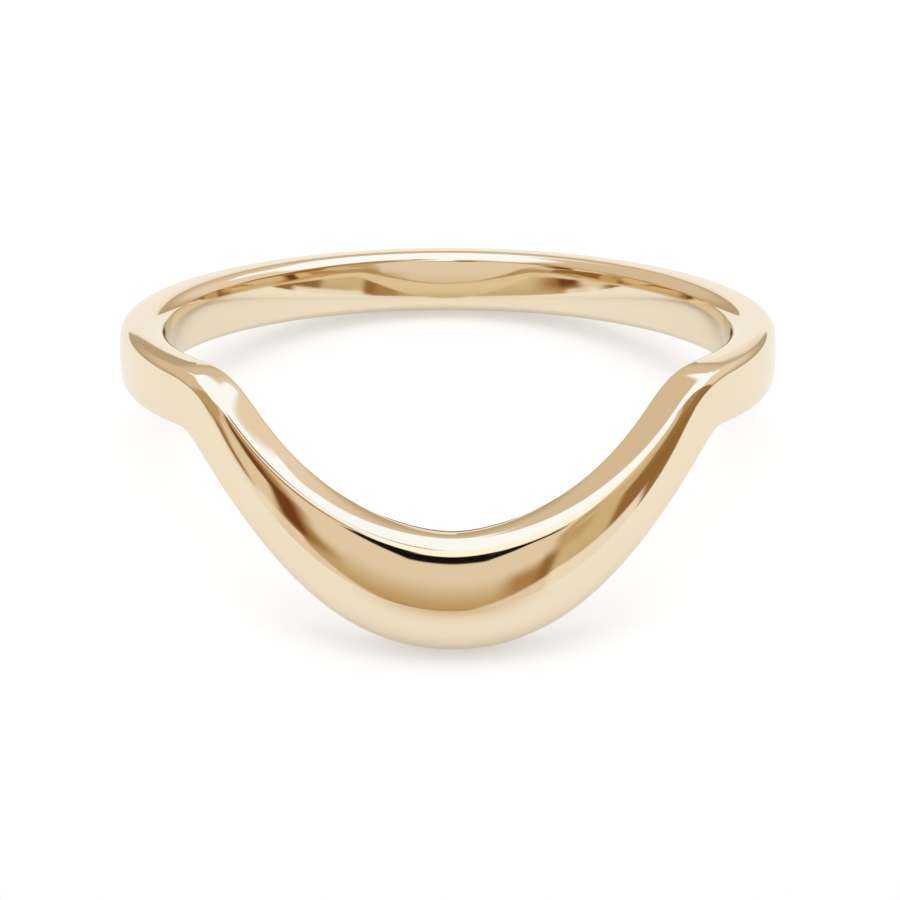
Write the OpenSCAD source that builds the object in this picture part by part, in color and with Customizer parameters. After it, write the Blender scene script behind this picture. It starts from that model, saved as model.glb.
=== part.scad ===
// Curved wedding band: a plain round ring whose front dips in a U.
// One piece. It lies on its side, front edge down, as it rests on a table.
// Frame: X across, -Y towards the front, Z up, table at Z = 0. Millimetres, degrees.

/* [Finger hole] */
// Diameter of the hole the finger goes through, halfway up the band
finger_d = 16.5; // [14:0.1:22]
// Angle by which the ring opens towards its upper side
flare = 1.4; // [0:0.2:3]
// Angle by which the crowned hole wall leans back at its edges
hole_crown = 7; // [4:0.5:15]
// Angle through which the top and bottom round over before the hole wall cuts them off
rim_turn = 57; // [30:1:70]
// Radius left on the corner between that rounding and the hole wall
corner_r = 0.04; // [0.02:0.01:0.08]

/* [Top and bottom faces] */
// Radius of their slight dome
face_r = 4; // [3:0.5:12]
// Angle by which they lean where they meet the rounding into the finger hole
face_lean = 4; // [1:0.5:8]

/* [Shank] */
// Width of the band along the finger, at the back and sides
shank_w = 1.8; // [1.4:0.05:3]
// Thickness of the band at the sides
side_t = 1.38; // [1.1:0.02:2]
// Thickness of the band at the back
back_t = 1.22; // [1.1:0.02:2]
// How far the outside bulges over the shank
shank_bulge = 0.08; // [0.03:0.01:0.3]
// Radius of the outer edges of the shank
shank_edge_r = 0.3; // [0.1:0.05:0.4]
// Radius that rounds the shank's top and bottom over into the finger hole
shank_rim_r = 0.45; // [0.15:0.05:0.5]

/* [Front] */
// Width of the band at the lowest point of the U
front_w = 3.35; // [2.6:0.05:4.2]
// Thickness of the band at the lowest point of the U
front_t = 1.7; // [1.4:0.05:2.6]
// How far the outside bulges at the front
front_bulge = 0.34; // [0.1:0.02:0.5]
// Radius of the outer edges at the front
front_edge_r = 0.8; // [0.3:0.05:0.9]
// Radius that rounds the top and bottom over into the finger hole at the front
front_rim_r = 0.17; // [0.1:0.01:0.5]
// Angle round the ring over which the width swells
swell_w_angle = 53; // [40:1:90]
// Angle round the ring over which the thickness swells
swell_t_angle = 84; // [40:1:95]
// Angle round the ring over which the edges grow rounder
swell_edge_angle = 67; // [40:1:90]
// Angle round the ring over which the rounding into the finger hole changes
swell_rim_angle = 90; // [40:1:95]

/* [Dip] */
// Depth of the U below the plane of the shank
dip_depth = 4.82; // [3:0.02:5.6]
// Half width of the ellipse that the U follows, seen from the front
dip_reach = 12.7; // [12:0.1:16]
// Half height of that ellipse
dip_rise = 30; // [20:0.5:40]
// Height over which each shoulder is blended into the U
shoulder_blend = 1.1; // [1:0.05:2.5]

/* [Mesh] */
// Cross-sections round the ring
stations = 128; // [60:4:140]
// Share of them that is spread evenly; the rest crowd towards the front
even_share = 0.62; // [0.4:0.02:1]
// Steps over half of the finger hole wall
wall_steps = 3; // [1:1:5]
// Steps round each corner of the finger hole wall
corner_steps = 1; // [1:1:3]
// Steps over each rounding into the finger hole
rim_steps = 4; // [2:1:6]
// Steps over the top face and over the bottom face
face_steps = 3; // [1:1:4]
// Steps round each outer edge
edge_steps = 7; // [4:1:10]
// Steps over half of the bulging outside
bulge_steps = 5; // [2:1:7]

/* [Hidden] */
gold = [0.93, 0.80, 0.58];
hole_r = finger_d / 2;
// depth in the band, and so the radius, at which the U is laid out
mid_depth = 0.7;
mid_r = hole_r + mid_depth;
// azimuths where the band starts and stops growing thicker to the back
back_start = 97;
back_span = 83;
// half step of the slope measurement, in degrees
probe = 0.05;
// largest share of the band's width or thickness that one outer edge may take
edge_share = 0.48;
// steepest tilt tried when the ring is laid down, and how often that range is halved
most_tilt = 60;
tilt_halvings = 22;
mm_per_degree = mid_r * PI / 180;

// 0 below 0, 1 above 1, and a smooth run between them
function ease(t) =
    let (c = min(max(t, 0), 1))
    c * c * c * (c * (6 * c - 15) + 10);

// 1 at the middle of the front, 0 from the given azimuth on
function swell(az, angle) = ease(1 - abs(az) / angle);

function mix(a, b, t) = a + (b - a) * t;

// the smaller of a height and zero, with the corner between them blended away
function below_zero(h, blend) =
    let (near = max(blend - abs(h), 0) / blend)
    min(h, 0) - near * near * near * blend / 6;

// height of the middle of the band over the plane of the shank
function band_height(az) =
    let (
        x = mid_r * sin(min(abs(az), 90)),
        q = min(x / dip_reach, 1),
        h = dip_rise * (1 - sqrt(1 - q * q)) - dip_depth
    )
    below_zero(h, shoulder_blend);

// angle at which the band climbs, seen square to its outside
function band_slope(az) =
    atan2(band_height(az + probe) - band_height(az - probe), 2 * probe * mm_per_degree);

function band_width(az) = mix(shank_w, front_w, swell(az, swell_w_angle));

function band_thickness(az) =
    side_t
    + (front_t - side_t) * swell(az, swell_t_angle)
    + (back_t - side_t) * ease((abs(az) - back_start) / back_span);

// points on an arc, as [outward, along the finger]
function arc(centre, r, from, to, steps, first) =
    [for (i = [first:steps])
        let (a = mix(from, to, i / steps))
        centre + r * [cos(a), sin(a)]];

function direction(way) = atan2(way[1], way[0]);

// the upper of the two points that lie at the distances r_a and r_b from two centres
function meeting_point(centre_a, r_a, centre_b, r_b) =
    let (
        gap = centre_b - centre_a,
        span = norm(gap),
        onward = (r_a * r_a - r_b * r_b + span * span) / (2 * span),
        aside = sqrt(r_a * r_a - onward * onward)
    )
    centre_a + (onward * gap + aside * [-gap[1], gap[0]]) / span;

// upper half of a cross-section, from the middle of the finger hole wall round
// the top to the middle of the outside; angles on the hole side count from the
// direction that faces the finger
function half_section(w, t, bulge, edge_r, rim_r) =
    let (
        half_w = w / 2,
        rim_from = 90 - rim_turn,
        corner_w = half_w - rim_r + (rim_r - corner_r) * sin(rim_from),
        wall_r = corner_r + corner_w / sin(hole_crown),
        corner_c = wall_r - (wall_r - corner_r) * cos(hole_crown),
        rim = [corner_c + (rim_r - corner_r) * cos(rim_from), half_w - rim_r],
        face = rim + (face_r - rim_r) * [sin(face_lean), -cos(face_lean)],
        bulge_r = (half_w * half_w + bulge * bulge) / (2 * bulge),
        outside = [t - bulge_r, 0],
        edge = meeting_point(outside, bulge_r - edge_r, face, face_r - edge_r),
        edge_from = direction(edge - face),
        turn = direction(edge - outside),
        wall_end = 180 - hole_crown,
        rim_end = 180 - rim_from,
        face_from = 90 + face_lean
    )
    concat(
        arc([wall_r, 0], wall_r, 180, wall_end, wall_steps, 0),
        arc([corner_c, corner_w], corner_r, wall_end, rim_end, corner_steps, 1),
        arc(rim, rim_r, rim_end, face_from, rim_steps, 1),
        arc(face, face_r, face_from, edge_from, face_steps, 1),
        arc(edge, edge_r, edge_from, turn, edge_steps, 1),
        arc(outside, bulge_r, turn, 0, bulge_steps, 1)
    );

// whole cross-section: the upper half and its mirror image
function whole_section(half) =
    concat(half, [for (i = [len(half) - 2:-1:1]) [half[i][0], -half[i][1]]]);

function section_at(az) =
    let (
        soft = swell(az, swell_edge_angle),
        w = band_width(az),
        t = band_thickness(az),
        most_edge_r = edge_share * min(w, t)
    )
    whole_section(half_section(
        w,
        t,
        mix(shank_bulge, front_bulge, soft),
        min(mix(shank_edge_r, front_edge_r, soft), most_edge_r),
        mix(shank_rim_r, front_rim_r, swell(az, swell_rim_angle))
    ));

// a point of the cross-section at one azimuth, set square to the band
function place(p, az, height, slope) =
    let (
        a = az - p[1] * sin(slope) / mm_per_degree,
        r = hole_r + p[0] + p[1] * tan(flare)
    )
    [r * sin(a), -r * cos(a), height + p[1] * cos(slope)];

function tilted(p, angle) =
    [p[0], p[1] * cos(angle) + p[2] * sin(angle), p[2] * cos(angle) - p[1] * sin(angle)];

// height of the lowest point in the front half (side -1) or the back half (side 1)
function lowest(points, side, angle) =
    min([for (p = points) if (side * p[1] > 0) tilted(p, angle)[2]]);

// angle at which the bottom of the U and the back edge touch the table together
function rest_tilt(points, from, to, halvings) =
    let (angle = (from + to) / 2)
    halvings == 0 ? angle
    : lowest(points, -1, angle) > lowest(points, 1, angle)
        ? rest_tilt(points, from, angle, halvings - 1)
        : rest_tilt(points, angle, to, halvings - 1);

function azimuth(i) =
    let (t = 2 * i / stations - 1)
    180 * (even_share * t + (1 - even_share) * t * t * t);

// all points of the ring, standing square on the plane of its shank
function ring_points() =
    [for (i = [0:stations - 1])
        let (
            az = azimuth(i),
            height = band_height(az),
            slope = band_slope(az)
        )
        for (p = section_at(az)) place(p, az, height, slope)];

// two triangles for each patch between neighbouring cross-sections
function ring_faces(around) =
    [for (i = [0:stations - 1])
        let (a = i * around, b = ((i + 1) % stations) * around)
        for (j = [0:around - 1])
            let (k = (j + 1) % around)
            for (face = [[a + j, b + j, b + k], [a + j, b + k, a + k]]) face];

// the whole ring, laid down to rest on Z = 0 with its box centred on X and Y
module band() {
    square = ring_points();
    tilt = rest_tilt(square, 0, most_tilt, tilt_halvings);
    points = [for (p = square) tilted(p, tilt)];
    around = len(points) / stations;
    ys = [for (p = points) p[1]];
    zs = [for (p = points) p[2]];
    rest = [0, -(min(ys) + max(ys)) / 2, -min(zs)];
    color(gold)
        translate(rest)
            polyhedron(points = points, faces = ring_faces(around), convexity = 6);
}

band();
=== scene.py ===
"""A curved wedding band in polished yellow gold, resting on a white table in a soft-lit studio."""
import logging
import math
from dataclasses import dataclass
from enum import Enum

import bpy
import numpy as np
from mathutils import Matrix, Vector


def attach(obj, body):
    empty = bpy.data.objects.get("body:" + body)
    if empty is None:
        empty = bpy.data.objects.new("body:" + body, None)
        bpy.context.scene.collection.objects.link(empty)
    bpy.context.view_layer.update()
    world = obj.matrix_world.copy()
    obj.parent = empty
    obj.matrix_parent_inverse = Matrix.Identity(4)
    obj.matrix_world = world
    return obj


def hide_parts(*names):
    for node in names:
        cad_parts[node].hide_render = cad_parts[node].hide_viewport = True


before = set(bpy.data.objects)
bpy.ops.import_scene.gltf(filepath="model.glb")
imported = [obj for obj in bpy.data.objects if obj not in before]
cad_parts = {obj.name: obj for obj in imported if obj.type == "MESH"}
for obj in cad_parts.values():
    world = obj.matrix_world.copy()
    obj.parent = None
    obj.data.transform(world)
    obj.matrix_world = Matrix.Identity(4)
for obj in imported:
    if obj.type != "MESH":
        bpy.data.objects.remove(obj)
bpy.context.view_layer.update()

log = logging.getLogger("curved_band")

MM = 0.001

# Light is linear red, green, blue and alpha. A tone is that, or the output of a node.
Light = tuple[float, float, float, float]
Tone = Light | bpy.types.NodeSocket


def linear(hex_colour: str) -> Light:
    """Turn an sRGB hex colour into linear light.

    Args:
        hex_colour: Six hex digits with a leading hash.

    Returns:
        Red, green, blue and an alpha of 1.
    """
    values = [int(hex_colour[i : i + 2], 16) / 255 for i in (1, 3, 5)]
    light = [v / 12.92 if v <= 0.04045 else ((v + 0.055) / 1.055) ** 2.4 for v in values]
    return (light[0], light[1], light[2], 1.0)


def ease(t: np.ndarray) -> np.ndarray:
    """Run smoothly from 0 at t = 0 to 1 at t = 1, and stay flat outside."""
    c = np.clip(t, 0, 1)
    return c**3 * (c * (6 * c - 15) + 10)


def swell(azimuth: np.ndarray, angle: float) -> np.ndarray:
    """Give 1 at the middle of the front and 0 from the given azimuth on, in degrees."""
    return ease(1 - np.abs(azimuth) / angle)


def arc(
    centre: tuple[float | np.ndarray, float | np.ndarray],
    r: float | np.ndarray,
    start: float | np.ndarray,
    end: float | np.ndarray,
    steps: int,
    first: int = 1,
) -> tuple[np.ndarray, np.ndarray]:
    """Lay points along an arc, from the given step to the last.

    Args:
        centre: Place of the centre along both axes, each one value or one per cross-section.
        r: Radius.
        start: Angle at step 0, in radians.
        end: Angle at the last step, in radians.
        steps: Number of steps from start to end.
        first: Step of the first point.

    Returns:
        The points' places along the same two axes.
    """
    angle = start + (end - start) * np.arange(first, steps + 1) / steps
    return centre[0] + r * np.cos(angle), centre[1] + r * np.sin(angle)


def add_node(
    tree: bpy.types.NodeTree, kind: str, settings: dict | None = None, **inputs: object
) -> bpy.types.Node:
    """Add one shader node, set it up and link it.

    Args:
        tree: The node tree that gets the node.
        kind: Blender's name for the node type.
        settings: Attributes of the node, by name.
        **inputs: A value or an output socket for each input, by its name with _ for a space, or
            by in_ and its number.

    Returns:
        The new node.
    """
    node = tree.nodes.new(kind)
    for name, value in (settings or {}).items():
        setattr(node, name, value)
    for name, value in inputs.items():
        key = int(name[3:]) if name.startswith("in_") else name.replace("_", " ")
        if isinstance(value, bpy.types.NodeSocket):
            tree.links.new(value, node.inputs[key])
        else:
            node.inputs[key].default_value = value
    return node


@dataclass(frozen=True)
class Profile:
    """The band's cross-section at one place, in millimetres.

    The outside bulges between rounded edges. The rim is the rounding of the top and bottom into
    the finger hole.
    """

    width: float
    thickness: float
    bulge: float
    edge_r: float
    rim_r: float


@dataclass(frozen=True)
class HoleWall:
    """The crowned wall of the finger hole, and how the rims meet it, in millimetres and degrees.

    The flare widens the hole upwards. The crown is how far the domed wall leans at its ends,
    where a small corner takes it into the rim. The rim's arc spans the rim turn, less the lean
    of the face that it runs into.
    """

    flare: float = 1.4
    crown: float = 7.0
    rim_turn: float = 57.0
    corner_r: float = 0.04


@dataclass(frozen=True)
class Face:
    """The slight dome of the band's top and bottom faces, in millimetres and degrees."""

    radius: float = 4.0
    lean: float = 4.0


@dataclass(frozen=True)
class Dip:
    """The U in the front of the band, seen from the front, in millimetres.

    It is the foot of an ellipse that reaches out to each side by the reach and up by the rise.
    Its lowest point is the depth below the plane of the shank, and it runs into that plane over
    the height of the shoulder blend.
    """

    depth: float = 4.82
    reach: float = 12.7
    rise: float = 30.0
    shoulder_blend: float = 1.1

    def height(self, x: np.ndarray) -> np.ndarray:
        """Height of the middle of the band over the plane of the shank.

        Args:
            x: Distance from the plane of symmetry.

        Returns:
            The height, 0 over the shank and below 0 in the U.
        """
        q = np.minimum(x / self.reach, 1)
        ellipse = self.rise * (1 - np.sqrt(1 - q * q)) - self.depth
        near = np.clip(1 - np.abs(ellipse) / self.shoulder_blend, 0, None)
        return np.minimum(ellipse, 0) - near**3 * self.shoulder_blend / 6


@dataclass(frozen=True)
class MeshSteps:
    """How finely the band is divided: round the ring, and over half of a cross-section.

    The even share is the part of the spacing round the ring that is the same everywhere. The
    rest of it grows from the front to the back.
    """

    stations: int = 560
    even_share: float = 0.62
    wall: int = 14
    corner: int = 3
    rim: int = 9
    face: int = 5
    outer_edge: int = 26
    bulge: int = 22


@dataclass(frozen=True)
class PolishedGold:
    """14 carat yellow gold, lapped and buffed to a mirror.

    A mirror finish shows the room in the metal's own colour, with no grain. What is left of the
    buffing is a waviness of about half a micron, which only bends reflections a little, and a
    faint haze of hairlines that softens the brightest edges. The haze and the tint drift a
    little, in clouds of a few millimetres.
    """

    colour: str = "#F0DFC2"
    pale_colour: str = "#F2E3C8"
    roughness: float = 0.035
    haze: float = 0.03
    cloud_mm: float = 6.0
    wave_mm: float = 2.2
    wave_height_mm: float = 0.0006

    def material(self) -> bpy.types.Material:
        """Build the gold's node material.

        Returns:
            The material, with patterns laid out in object coordinates.
        """
        made = bpy.data.materials.new("yellow_gold_mirror_polished")
        made.use_nodes = True
        tree = made.node_tree
        tree.nodes.clear()
        place = add_node(tree, "ShaderNodeTexCoord").outputs["Object"]
        cloud = add_node(
            tree, "ShaderNodeTexNoise", Vector=place, Scale=1 / (self.cloud_mm * MM), Detail=2.0
        )
        tint = add_node(
            tree,
            "ShaderNodeMix",
            {"data_type": "RGBA"},
            in_0=cloud.outputs["Fac"],
            in_6=linear(self.colour),
            in_7=linear(self.pale_colour),
        )
        wave = add_node(
            tree, "ShaderNodeTexNoise", Vector=place, Scale=1 / (self.wave_mm * MM), Detail=1.0
        )
        bump = add_node(
            tree,
            "ShaderNodeBump",
            Height=wave.outputs["Fac"],
            Strength=1.0,
            Distance=self.wave_height_mm * MM,
        )
        haze = add_node(
            tree,
            "ShaderNodeMapRange",
            Value=cloud.outputs["Fac"],
            To_Min=self.roughness,
            To_Max=self.roughness + self.haze,
        )
        metal = add_node(
            tree,
            "ShaderNodeBsdfPrincipled",
            Base_Color=tint.outputs[2],
            Metallic=1.0,
            Roughness=haze.outputs[0],
            Normal=bump.outputs[0],
        )
        add_node(tree, "ShaderNodeOutputMaterial", Surface=metal.outputs[0])
        return made


@dataclass
class WeddingBand:
    """The whole ring: one piece of gold, round at the back and sides, with a U in front.

    Sizes are in millimetres and angles in degrees. A swell angle is the azimuth from which a
    size of the profile grows from the shank's to the front's. The U is laid out at the mid depth
    from the finger hole, and its slope is measured over the probe to either side. From the back
    start on the band thins, over the back span, to the thickness at the back. The tilt at rest
    is found by halving a range that ends at the most tilt.
    """

    finger_d: float = 16.5
    shank: Profile = Profile(width=1.8, thickness=1.38, bulge=0.08, edge_r=0.3, rim_r=0.45)
    front: Profile = Profile(width=3.35, thickness=1.7, bulge=0.34, edge_r=0.8, rim_r=0.17)
    wall: HoleWall = HoleWall()
    face: Face = Face()
    back_t: float = 1.22
    back_start: float = 97.0
    back_span: float = 83.0
    swell_w_angle: float = 53.0
    swell_t_angle: float = 84.0
    swell_edge_angle: float = 67.0
    swell_rim_angle: float = 90.0
    mid_depth: float = 0.7
    probe: float = 0.05
    most_tilt: float = 60.0
    tilt_halvings: int = 24
    dip: Dip = Dip()
    steps: MeshSteps = MeshSteps()
    finish: PolishedGold = PolishedGold()

    @property
    def hole_r(self) -> float:
        """Radius of the finger hole."""
        return self.finger_d / 2

    @property
    def mid_r(self) -> float:
        """Radius at which the U is laid out."""
        return self.hole_r + self.mid_depth

    def azimuths(self) -> np.ndarray:
        """Azimuths of the cross-sections in degrees, closer together towards the front."""
        t = np.arange(self.steps.stations) * 2 / self.steps.stations - 1
        return 180 * (self.steps.even_share * t + (1 - self.steps.even_share) * t**3)

    def height(self, azimuth: np.ndarray) -> np.ndarray:
        """Height of the middle of the band at each azimuth."""
        return self.dip.height(self.mid_r * np.sin(np.radians(np.minimum(np.abs(azimuth), 90))))

    def slope(self, azimuth: np.ndarray) -> np.ndarray:
        """Angle at which the band climbs.

        Args:
            azimuth: One value per station, in degrees.

        Returns:
            The angle at each azimuth, in radians.
        """
        rise = self.height(azimuth + self.probe) - self.height(azimuth - self.probe)
        return np.arctan2(rise, 2 * self.mid_r * math.radians(self.probe))

    def blended(self, name: str, share: np.ndarray) -> np.ndarray:
        """One size of the profile, mixed from shank to front."""
        return getattr(self.shank, name) * (1 - share) + getattr(self.front, name) * share

    def thickness(self, azimuth: np.ndarray) -> np.ndarray:
        """Thickness of the band, which swells to the front and thins to the back.

        Args:
            azimuth: One value per station, in degrees.

        Returns:
            The thickness at each azimuth.
        """
        before_back = self.blended("thickness", swell(azimuth, self.swell_t_angle))
        back = ease((np.abs(azimuth) - self.back_start) / self.back_span)
        return before_back + (self.back_t - self.shank.thickness) * back

    @staticmethod
    def between(
        first_c: np.ndarray,
        first_r: np.ndarray,
        gap_c: np.ndarray,
        gap_w: np.ndarray,
        last_r: np.ndarray,
    ) -> tuple[np.ndarray, np.ndarray]:
        """Find the outer of the two points at given distances from two centres.

        Args:
            first_c: Place of the first centre, on the middle line of the section.
            first_r: Distance from the first centre.
            gap_c: Way from the first centre to the second, outward.
            gap_w: The same way, along the finger.
            last_r: Distance from the second centre.

        Returns:
            The point's place outward and along the finger.
        """
        gap = np.hypot(gap_c, gap_w)
        onward = (first_r**2 - last_r**2 + gap**2) / (2 * gap)
        aside = np.sqrt(first_r**2 - onward**2)
        return (
            first_c + (onward * gap_c - aside * gap_w) / gap,
            (onward * gap_w + aside * gap_c) / gap,
        )

    def sections(self, azimuth: np.ndarray) -> np.ndarray:
        """Outline of the cross-section at each azimuth.

        Args:
            azimuth: One value per station, in degrees.

        Returns:
            An array of stations by points by two: outward from the finger hole wall, and along
            the finger.
        """
        column = azimuth[:, None]
        soft = swell(column, self.swell_edge_angle)
        half_w = self.blended("width", swell(column, self.swell_w_angle)) / 2
        t = self.thickness(column)
        bulge, edge_r = (self.blended(n, soft) for n in ("bulge", "edge_r"))
        rim_r = self.blended("rim_r", swell(column, self.swell_rim_angle))
        crown, rim_end = math.radians(self.wall.crown), math.radians(90 - self.wall.rim_turn)
        corner_r = self.wall.corner_r
        corner_w = half_w - rim_r + (rim_r - corner_r) * math.sin(rim_end)
        wall_r = corner_r + corner_w / math.sin(crown)
        corner_c = wall_r - (wall_r - corner_r) * math.cos(crown)
        rim_c = corner_c + (rim_r - corner_r) * math.cos(rim_end)
        lean = math.radians(self.face.lean)
        face_c = rim_c + (self.face.radius - rim_r) * math.sin(lean)
        face_w = half_w - rim_r - (self.face.radius - rim_r) * math.cos(lean)
        bulge_r = (half_w**2 + bulge**2) / (2 * bulge)
        bulge_c = t - bulge_r
        edge_c, edge_w = self.between(
            bulge_c, bulge_r - edge_r, face_c - bulge_c, face_w, self.face.radius - edge_r
        )
        edge_start = np.arctan2(edge_w - face_w, edge_c - face_c)
        turn = np.arctan2(edge_w, edge_c - bulge_c)
        face_start = np.pi / 2 + lean
        hole_side = np.pi
        s = self.steps
        runs = (
            arc((wall_r, 0), wall_r, hole_side, hole_side - crown, s.wall, 0),
            arc((corner_c, corner_w), corner_r, hole_side - crown, hole_side - rim_end, s.corner),
            arc((rim_c, half_w - rim_r), rim_r, hole_side - rim_end, face_start, s.rim),
            arc((face_c, face_w), self.face.radius, face_start, edge_start, s.face),
            arc((edge_c, edge_w), edge_r, edge_start, turn, s.outer_edge),
            arc((bulge_c, 0), bulge_r, turn, 0, s.bulge),
        )
        half = np.stack([np.concatenate([run[i] for run in runs], axis=1) for i in (0, 1)], axis=2)
        mirrored = half[:, -2:0:-1] * (1, -1)
        return np.concatenate([half, mirrored], axis=1)

    def square_points(self) -> np.ndarray:
        """Lay out the ring standing square on the plane of its shank.

        Returns:
            An array of stations by points by three, in millimetres.
        """
        azimuth = self.azimuths()
        outline = self.sections(azimuth)
        slope = self.slope(azimuth)[:, None]
        along = outline[:, :, 1]
        turned = np.radians(azimuth)[:, None] - along * np.sin(slope) / self.mid_r
        radius = self.hole_r + outline[:, :, 0] + along * math.tan(math.radians(self.wall.flare))
        rise = self.height(azimuth)[:, None] + along * np.cos(slope)
        return np.stack([radius * np.sin(turned), -radius * np.cos(turned), rise], axis=2)

    @staticmethod
    def tilted(points: np.ndarray, angle: float) -> np.ndarray:
        """The points with the front raised by an angle in radians."""
        turn = Matrix.Rotation(-angle, 3, "X")
        return points @ np.array(turn).T

    def rest_tilt(self, points: np.ndarray) -> float:
        """Angle at which the bottom of the U and the back edge touch the table together.

        Args:
            points: The ring standing square.

        Returns:
            The angle in radians.
        """
        in_front = points[:, :, 1] < 0
        low, high = 0.0, math.radians(self.most_tilt)
        for _ in range(self.tilt_halvings):
            angle = (low + high) / 2
            height = self.tilted(points, angle)[:, :, 2]
            if height[in_front].min() > height[~in_front].min():
                high = angle
            else:
                low = angle
        return (low + high) / 2

    def laid_down(self) -> np.ndarray:
        """Lay the ring on the table, over the frame's origin.

        Returns:
            An array of stations by points by three, in metres.
        """
        square = self.square_points()
        points = self.tilted(square, self.rest_tilt(square))
        low, high = points.min(axis=(0, 1)), points.max(axis=(0, 1))
        return (points - (0, (low[1] + high[1]) / 2, low[2])) * MM

    def build(self) -> bpy.types.Object:
        """Make the ring's mesh, dress it, and set it in place of the frame's band.

        Returns:
            The finished piece.
        """
        points = self.laid_down()
        stations, around = points.shape[:2]
        index = np.arange(stations * around).reshape(stations, around)
        onward, beside = np.roll(index, -1, axis=0), np.roll(index, -1, axis=1)
        diagonal = np.roll(onward, -1, axis=1)
        quads = np.stack([index, beside, diagonal, onward], axis=2).reshape(-1, 4)
        mesh = bpy.data.meshes.new("curved_band")
        mesh.from_pydata(points.reshape(-1, 3).tolist(), [], quads.tolist())
        mesh.shade_smooth()
        mesh.materials.append(self.finish.material())
        piece = bpy.data.objects.new("curved_band", mesh)
        bpy.context.scene.collection.objects.link(piece)
        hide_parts("band")
        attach(piece, "root")
        log.info("curved_band: %d faces, %d stations of %d points", len(quads), stations, around)
        return piece


@dataclass
class ProductCamera:
    """The photograph's view: a long lens, above the table and almost square to the front.

    Lengths are in millimetres and angles in degrees. The centre is that of the finger hole, and
    the lens aims a little beside and below it.
    """

    centre: tuple[float, float, float] = (0.0, 0.956, 3.635)
    distance: float = 250.0
    elevation: float = 31.81
    azimuth: float = 1.07
    roll: float = 0.39
    lens_mm: float = 340.5
    aim_right: float = 0.083
    aim_down: float = 2.921
    nearest: float = 10.0
    farthest: float = 10000.0

    def build(self) -> bpy.types.Object:
        """Make the camera and give it to the scene.

        Returns:
            The camera.
        """
        a, e = math.radians(self.azimuth), math.radians(self.elevation)
        back = Vector((-math.sin(a) * math.cos(e), -math.cos(a) * math.cos(e), math.sin(e)))
        right = Vector((math.cos(a), -math.sin(a), 0))
        up = back.cross(right)
        centre = Vector(self.centre)
        place = centre + back * self.distance
        aim = centre + right * self.aim_right - up * self.aim_down
        lens = bpy.data.cameras.new("product_camera")
        lens.lens = self.lens_mm
        lens.clip_start, lens.clip_end = self.nearest * MM, self.farthest * MM
        camera = bpy.data.objects.new("product_camera", lens)
        bpy.context.scene.collection.objects.link(camera)
        camera.location = place * MM
        level = (aim - place).to_track_quat("-Z", "Y").to_matrix()
        roll = Matrix.Rotation(math.radians(self.roll), 3, "Z")
        camera.rotation_euler = (level @ roll).to_euler()
        bpy.context.scene.camera = camera
        return camera


@dataclass(frozen=True)
class PaintedShade:
    """A soft patch of painted shade on the table, which only the gold sees, in millimetres.

    It is full at its centre and fades out at its reach.
    """

    colour: str
    centre: tuple[float, float]
    reach: tuple[float, float]

    def add(self, tree: bpy.types.NodeTree, behind: Tone) -> bpy.types.NodeSocket:
        """Lay the patch over the colour round it.

        Args:
            tree: The table's node tree.
            behind: The colour round the patch.

        Returns:
            The colour with the patch in place.
        """
        place = add_node(
            tree,
            "ShaderNodeMapping",
            {"vector_type": "TEXTURE"},
            Vector=add_node(tree, "ShaderNodeTexCoord").outputs["Object"],
            Location=(*(c * MM for c in self.centre), 0),
            Scale=(*(r * MM for r in self.reach), 1),
        )
        away = add_node(
            tree, "ShaderNodeVectorMath", {"operation": "LENGTH"}, in_0=place.outputs[0]
        )
        fade = add_node(
            tree,
            "ShaderNodeMapRange",
            {"interpolation_type": "SMOOTHSTEP"},
            Value=away.outputs["Value"],
        )
        mixed = add_node(
            tree,
            "ShaderNodeMix",
            {"data_type": "RGBA"},
            in_0=fade.outputs[0],
            in_6=linear(self.colour),
            in_7=behind,
        )
        return mixed.outputs[2]


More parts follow.
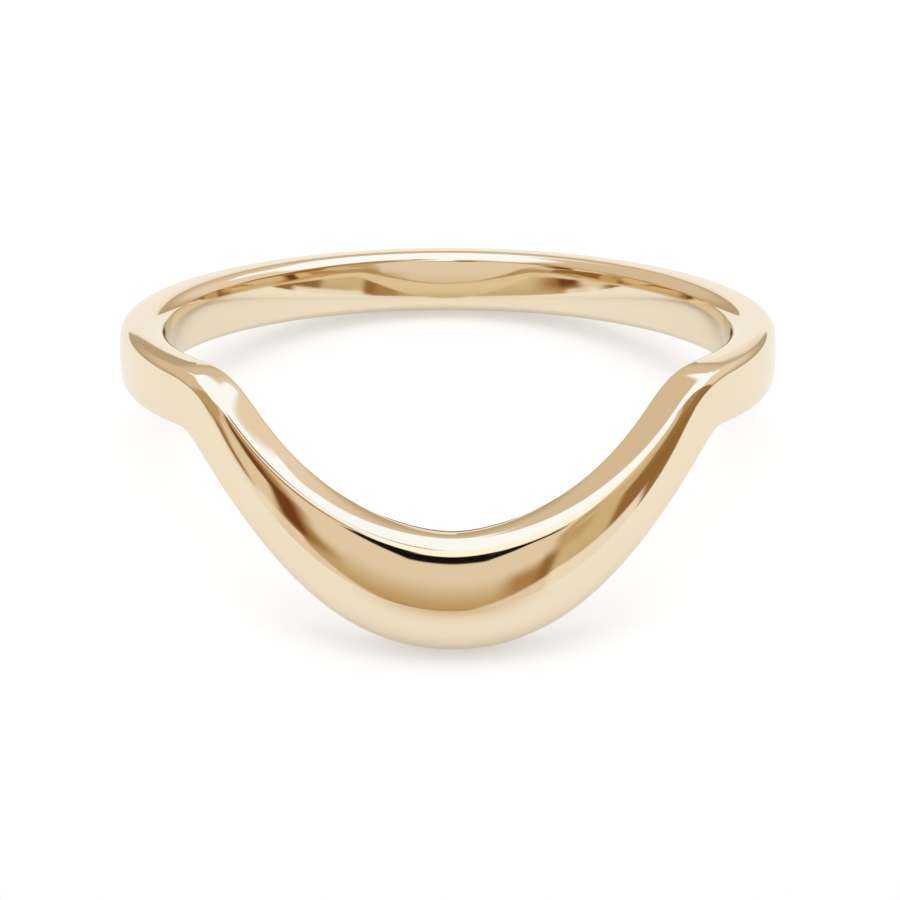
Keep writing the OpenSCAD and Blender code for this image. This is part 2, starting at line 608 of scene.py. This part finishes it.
@dataclass(frozen=True)
class WhiteTable:
    """The smooth white sheet that the ring lies on.

    It is a matt, milky acrylic with lamps under it, so its shadows are soft and pale and nothing
    gleams in it. The gold sees it a little dimmer than the eye does, with a painted shade, dark
    and warm, along the front.
    Its edges are measured in millimetres from the middle of the ring.
    """

    half_width: float = 90.0
    front_edge: float = 21.0
    back_edge: float = 120.0
    colour: str = "#F8F8F8"
    colour_in_gold: str = "#E9E9E8"
    # Painted shade: a dark, warm patch on the table before the ring, which only the gold sees.
    painted_front_shade: PaintedShade = PaintedShade("#D0BCA1", centre=(0, -21), reach=(13, 9))
    lit_share: float = 0.33
    lit_strength: float = 1.2

    def material(self) -> bpy.types.Material:
        """Build the sheet's matt white.

        Returns:
            The material.
        """
        made = bpy.data.materials.new("white_acrylic_matt")
        made.use_nodes = True
        tree = made.node_tree
        tree.nodes.clear()
        rays = add_node(tree, "ShaderNodeLightPath")
        tone = add_node(
            tree,
            "ShaderNodeMix",
            {"data_type": "RGBA"},
            in_0=rays.outputs["Is Glossy Ray"],
            in_6=linear(self.colour),
            # The gold sees the dimmer colour with the painted shade laid over it.
            in_7=self.painted_front_shade.add(tree, linear(self.colour_in_gold)),
        )
        face = add_node(tree, "ShaderNodeBsdfDiffuse", Color=tone.outputs[2])
        glow = add_node(
            tree, "ShaderNodeEmission", Color=tone.outputs[2], Strength=self.lit_strength
        )
        sheet = add_node(
            tree,
            "ShaderNodeMixShader",
            in_0=self.lit_share,
            in_1=face.outputs[0],
            in_2=glow.outputs[0],
        )
        add_node(tree, "ShaderNodeOutputMaterial", Surface=sheet.outputs[0])
        return made

    def build(self) -> bpy.types.Object:
        """Make the table top.

        Returns:
            The table.
        """
        side, front, back = (
            edge * MM for edge in (self.half_width, -self.front_edge, self.back_edge)
        )
        corners = [(-side, front, 0), (side, front, 0), (side, back, 0), (-side, back, 0)]
        mesh = bpy.data.meshes.new("white_table")
        mesh.from_pydata(corners, [], [(0, 1, 2, 3)])
        mesh.materials.append(self.material())
        table = bpy.data.objects.new("white_table", mesh)
        bpy.context.scene.collection.objects.link(table)
        log.info("white_table: front edge %.0f mm before the ring's middle", self.front_edge)
        return table


@dataclass(frozen=True)
class OverheadSilk:
    """A broad silk over the table, which evens its light and leaves soft shadows.

    It lights the table only. What the gold shows of it is the studio's overhead cards. The
    spread is its width as the ring sees it, in degrees.
    """

    strength: float = 0.7
    spread: float = 60.0
    tip_back: float = 8.0

    def build(self) -> bpy.types.Object:
        """Make the light.

        Returns:
            The light, hung straight over the ring and tipped a little to the back.
        """
        light = bpy.data.lights.new("overhead_silk", "SUN")
        light.energy = self.strength
        light.angle = math.radians(self.spread)
        lamp = bpy.data.objects.new("overhead_silk", light)
        lamp.rotation_euler = (math.radians(-self.tip_back), 0, 0)
        lamp.visible_glossy = False
        bpy.context.scene.collection.objects.link(lamp)
        log.info("overhead_silk: %.0f degrees wide", self.spread)
        return lamp


class Board(Enum):
    """What the studio's cards are made of, as their lit faces look to the gold."""

    SILK = "#DBE8FF"
    BACKDROP = "#FFFFFF"
    PAPER = "#F9F3EA"
    WARM_WHITE = "#F1E6DA"
    CREAM = "#EDE1D2"
    WHEAT = "#E9DCC3"
    PLASTER = "#DFD0BC"
    SAND = "#D6C29D"
    STONE = "#BBAB8E"
    STRAW = "#C6AB80"
    BUFF = "#B5986F"
    CARAMEL = "#B08C5A"
    OAK = "#A07C4C"
    CHESTNUT = "#987240"
    WALNUT = "#744522"
    UMBER = "#5A4330"
    FLOCK = "#17110F"


class Hung(Enum):
    """How a card hangs, and so how its place is measured."""

    ROUND = "azimuth and elevation in degrees, as seen from the ring"
    OVERHEAD = "level over the ring, across and back in units of its own height"


@dataclass(frozen=True)
class Card:
    """One card of the studio.

    Azimuth 0 is in front of the ring and grows towards +X. Elevation 0 is the table's horizon.
    The half sizes reach from the middle of the card to the middle of its soft edges, and an edge
    is soft by the soft size to either side of that. A turn above 0 leans the card's top towards
    -X, in degrees. The strength multiplies the light of the board.
    """

    name: str
    board: Board
    across: float
    up: float
    half_width: float
    half_height: float
    turn: float = 0.0
    soft_width: float = 3.0
    soft_height: float = 3.0
    strength: float = 1.0
    hung: Hung = Hung.ROUND

    def colour(self) -> Light:
        """Light that leaves the card's face."""
        light = linear(self.board.value)
        return (*(self.strength * v for v in light[:3]), 1.0)

    def add(
        self, tree: bpy.types.NodeTree, place: dict[Hung, bpy.types.NodeSocket], behind: Tone
    ) -> bpy.types.NodeSocket:
        """Lay the card over what is behind it.

        Args:
            tree: The world's node tree.
            place: The direction looked in, measured for each way of hanging.
            behind: The light of what is behind the card.

        Returns:
            The light with the card in place.
        """
        own = add_node(
            tree,
            "ShaderNodeMapping",
            {"vector_type": "TEXTURE"},
            Vector=place[self.hung],
            Location=(self.across, self.up, 0),
            Rotation=(0, 0, math.radians(self.turn)),
        )
        off = add_node(
            tree, "ShaderNodeVectorMath", {"operation": "ABSOLUTE"}, in_0=own.outputs[0]
        )
        inside = add_node(
            tree,
            "ShaderNodeMapRange",
            {"data_type": "FLOAT_VECTOR", "interpolation_type": "SMOOTHSTEP"},
            in_6=off.outputs[0],
            in_7=(self.half_width + self.soft_width, self.half_height + self.soft_height, 1),
            in_8=(self.half_width - self.soft_width, self.half_height - self.soft_height, 0),
        )
        parts = add_node(tree, "ShaderNodeSeparateXYZ", in_0=inside.outputs[1])
        cover = add_node(
            tree,
            "ShaderNodeMath",
            {"operation": "MULTIPLY"},
            in_0=parts.outputs["X"],
            in_1=parts.outputs["Y"],
        )
        mixed = add_node(
            tree,
            "ShaderNodeMix",
            {"data_type": "RGBA"},
            in_0=cover.outputs[0],
            in_6=behind,
            in_7=self.colour(),
        )
        return mixed.outputs[2]


@dataclass(frozen=True)
class Studio:
    """The room round the ring, as a mirror finish shows it: walls, cards, flags and a silk.

    Each card covers those before it. A direction near the horizon meets the level over the ring
    very far out, so there its rise counts as no less than the lowest rise.
    """

    walls: Board = Board.PLASTER
    lowest_rise: float = 0.02
    # Columns: name, board, across, up, half width, half height, turn, soft width, soft height,
    # strength, how it hangs. A half width of 200 goes all the way round.
    cards: tuple[Card, ...] = (
        # The walls behind and beside the ring, darker at their foot.
        Card("right_wall", Board.WARM_WHITE, 100, 30, 60, 70, 0, 10, 8),
        Card("wall_foot", Board.STONE, 0, -8, 200, 15, 0, 3, 9),
        Card("right_back_sweep", Board.PAPER, 179, -5, 6, 7, 0, 3, 1.5),
        Card("left_wall", Board.STRAW, -74, 30, 18, 80, 0, 5, 8),
        # The silk overhead, a main sheet with three smaller ones behind it.
        Card("overhead", Board.SILK, 0.22, 0.22, 0.64, 0.36, 0, 0.07, 0.08, 1.55, Hung.OVERHEAD),
        Card("overhead_left", Board.SILK, -0.1, 0.75, 0.2, 0.45, -15, 0.08, 0.12, 1.55, Hung.OVERHEAD),
        Card("overhead_right", Board.SILK, 0.22, 1.1, 0.34, 0.9, 20, 0.1, 0.15, 1.55, Hung.OVERHEAD),
        Card("overhead_end", Board.SILK, 0.72, 1.1, 0.2, 0.5, -22, 0.08, 0.1, 1.55, Hung.OVERHEAD),
        # The front wall, which darkens towards the table's edge and in both corners.
        Card("front_wall", Board.CREAM, -8, 45, 45, 60, 0, 4, 4),
        Card("front_top_white", Board.BACKDROP, 10, 68, 22, 12, 0, 4, 3, 1.2),
        Card("front_top_shade", Board.BUFF, -25, 74, 15, 6, 0, 6, 3),
        Card("front_low", Board.SAND, -8, -12, 44, 20, 0, 6, 8),
        Card("front_horizon", Board.STRAW, -8, -14, 44, 12.5, 0, 6, 5),
        Card("front_edge_shade", Board.CARAMEL, -5, -12, 20, 3.5, 0, 6, 2),
        Card("left_corner_shade", Board.CARAMEL, -46, 5, 8, 4, 0, 6, 4),
        Card("right_corner_shade", Board.CARAMEL, 25, 3, 7, 8, 0, 5, 6),
        # A tall dark stand on the left, with the light wall on both sides of it.
        Card("left_margin", Board.PLASTER, -51, 54, 4.5, 20, -16, 1.5, 4),
        Card("left_wedge", Board.WHEAT, -62, 12, 7, 22, -17, 2, 6),
        Card("left_strip_shade", Board.CARAMEL, -43, 47, 4.5, 24, -14, 3.5, 5),
        Card("left_strip_shade_low", Board.CHESTNUT, -48.5, 16, 5, 15, -4, 4, 5),
        Card("left_strip_low", Board.WALNUT, -51.3, 15, 4, 13, 0, 1.6, 2.5),
        Card("left_strip_mid", Board.WALNUT, -47.5, 46, 3.2, 20, -14, 1.8, 3),
        Card("left_strip_top", Board.CHESTNUT, -38, 70, 2.4, 9, -36, 1.6, 3),
        # A beige wall on the right, a dark door beyond it and a thin post before it.
        Card("right_beige", Board.SAND, 43.5, 29, 10.5, 27, 0, 1.5, 5),
        Card("right_top", Board.PLASTER, 43.5, 68, 11, 16, 0, 1.5, 6),
        Card("right_spot", Board.STRAW, 38, 19, 4, 5, 0, 3, 4),
        Card("right_dark", Board.OAK, 74.5, 27, 21.5, 35, 0, 2, 6),
        Card("right_dark_top", Board.BUFF, 74.5, 62, 21.5, 18, 0, 2, 8),
        Card("right_dark_low", Board.CHESTNUT, 64, 6, 11, 8, 0, 3, 5),
        Card("right_line_low", Board.CHESTNUT, 31, 5, 2.6, 10, 0, 2, 5),
        Card("right_line_high", Board.STRAW, 33, 36, 2, 20, 0, 2, 6),
        # The top of the tent with the line where it meets the right wall.
        Card("cap", Board.SILK, 0, 90, 200, 11, 0, 3, 1.2, 1.55),
        Card("right_thin", Board.BUFF, 58, 81.5, 38, 2.2, 0, 4, 1.2),
        # Pale card round the table, below its edge.
        Card("below_left_far", Board.PAPER, -66, -13, 16, 13.5, 0, 2, 1),
        Card("below_left", Board.CREAM, -43, -15, 20, 10.5, -18, 3, 1.2),
        Card("below_right", Board.CREAM, 23.5, -14.6, 17, 10.5, 19, 3, 1.2),
        Card("below_right_far", Board.PAPER, 50, -13, 16, 14, 0, 1.5, 1),
        Card("right_foot", Board.CHESTNUT, 78, 1.5, 13, 3.5, 0, 3, 1),
        Card("left_foot", Board.CHESTNUT, -79, -0.5, 12, 1.5, 0, 4, 1.2),
        # The black flag before the lens, cut to a bent shape.
        Card("flag_arm", Board.UMBER, 15, 50, 12, 3.5, -8, 2, 2),
        Card("flag_body", Board.FLOCK, 0, 41.5, 9, 13.5, 0, 1.5, 1.5),
        Card("flag_left", Board.FLOCK, -11, 45, 5, 17, 17, 1.5, 1.5),
        Card("flag_right", Board.FLOCK, 11, 41, 5, 13, -26, 1.5, 1.5),
        Card("flag_top", Board.FLOCK, -11, 58, 7.5, 6, -37, 1.5, 1.5),
    )

    def places(self, tree: bpy.types.NodeTree) -> dict[Hung, bpy.types.NodeSocket]:
        """Measure the direction looked in, in the ways that the cards need.

        Args:
            tree: The world's node tree.

        Returns:
            A vector for each way of hanging.
        """
        way = add_node(tree, "ShaderNodeTexCoord").outputs["Generated"]
        part = add_node(tree, "ShaderNodeSeparateXYZ", in_0=way)
        x, y, z = part.outputs
        ahead = add_node(tree, "ShaderNodeMath", {"operation": "MULTIPLY"}, in_0=y, in_1=-1.0)
        turn = add_node(
            tree, "ShaderNodeMath", {"operation": "ARCTAN2"}, in_0=x, in_1=ahead.outputs[0]
        )
        rise = add_node(tree, "ShaderNodeMath", {"operation": "ARCSINE"}, in_0=z)
        angles = add_node(tree, "ShaderNodeCombineXYZ", X=turn.outputs[0], Y=rise.outputs[0])
        degrees = add_node(
            tree,
            "ShaderNodeVectorMath",
            {"operation": "SCALE"},
            in_0=angles.outputs[0],
            Scale=math.degrees(1),
        )
        height = add_node(
            tree, "ShaderNodeMath", {"operation": "MAXIMUM"}, in_0=z, in_1=self.lowest_rise
        )
        level = add_node(
            tree,
            "ShaderNodeVectorMath",
            {"operation": "DIVIDE"},
            in_0=way,
            in_1=add_node(
                tree,
                "ShaderNodeCombineXYZ",
                X=height.outputs[0],
                Y=height.outputs[0],
                Z=height.outputs[0],
            ).outputs[0],
        )
        return {Hung.ROUND: degrees.outputs[0], Hung.OVERHEAD: level.outputs[0]}

    def build(self) -> None:
        """Hang the cards in the world, where the gold sees them, before a plain white backdrop."""
        world = bpy.data.worlds.new("studio")
        world.use_nodes = True
        tree = world.node_tree
        tree.nodes.clear()
        places = self.places(tree)
        light = linear(self.walls.value)
        for card in self.cards:
            light = card.add(tree, places, light)
            log.info("%s: %s", card.name, card.board.name.lower())
        room = add_node(tree, "ShaderNodeBackground", Color=light)
        backdrop = add_node(tree, "ShaderNodeBackground", Color=linear(Board.BACKDROP.value))
        rays = add_node(tree, "ShaderNodeLightPath")
        seen = add_node(
            tree,
            "ShaderNodeMixShader",
            in_0=rays.outputs["Is Glossy Ray"],
            in_1=backdrop.outputs[0],
            in_2=room.outputs[0],
        )
        add_node(tree, "ShaderNodeOutputWorld", Surface=seen.outputs[0])
        scene = bpy.context.scene
        scene.world = world
        scene.view_settings.view_transform = "Standard"


def main() -> None:
    """Build the ring, the table, the studio and the camera."""
    logging.basicConfig(level=logging.INFO, format="%(name)s: %(message)s")
    WeddingBand().build()
    WhiteTable().build()
    OverheadSilk().build()
    Studio().build()
    ProductCamera().build()


if __name__ == "__main__":
    main()
